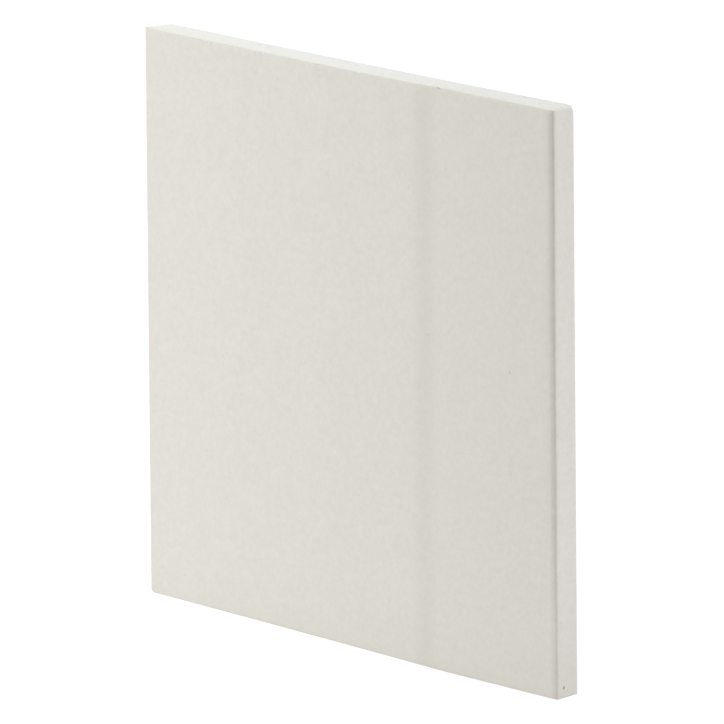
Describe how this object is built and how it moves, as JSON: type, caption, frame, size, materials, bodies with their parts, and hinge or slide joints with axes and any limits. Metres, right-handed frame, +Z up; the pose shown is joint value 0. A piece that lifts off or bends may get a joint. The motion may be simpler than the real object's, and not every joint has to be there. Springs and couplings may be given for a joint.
{
  "type": "drywall sheet",
  "caption": "Hand-sized cut square of tapered-edge drywall: ivory paper face that dips to a rounded factory edge, white gypsum core bare on the cut edges.",
  "frame": {"origin": "centre of the back face, which the sheet lies on", "axes": "+X across the sheet towards the tapered factory edge, +Y along that edge, +Z up through the thickness to the ivory face"},
  "size_m": [0.225, 0.212, 0.0125],
  "materials": {
    "face_paper": "matte",
    "gypsum_core": "matte",
    "back_paper": "matte"
  },
  "bodies": {
    "root": {"drywall_sheet": "face_paper"}
  },
  "joints": []
}
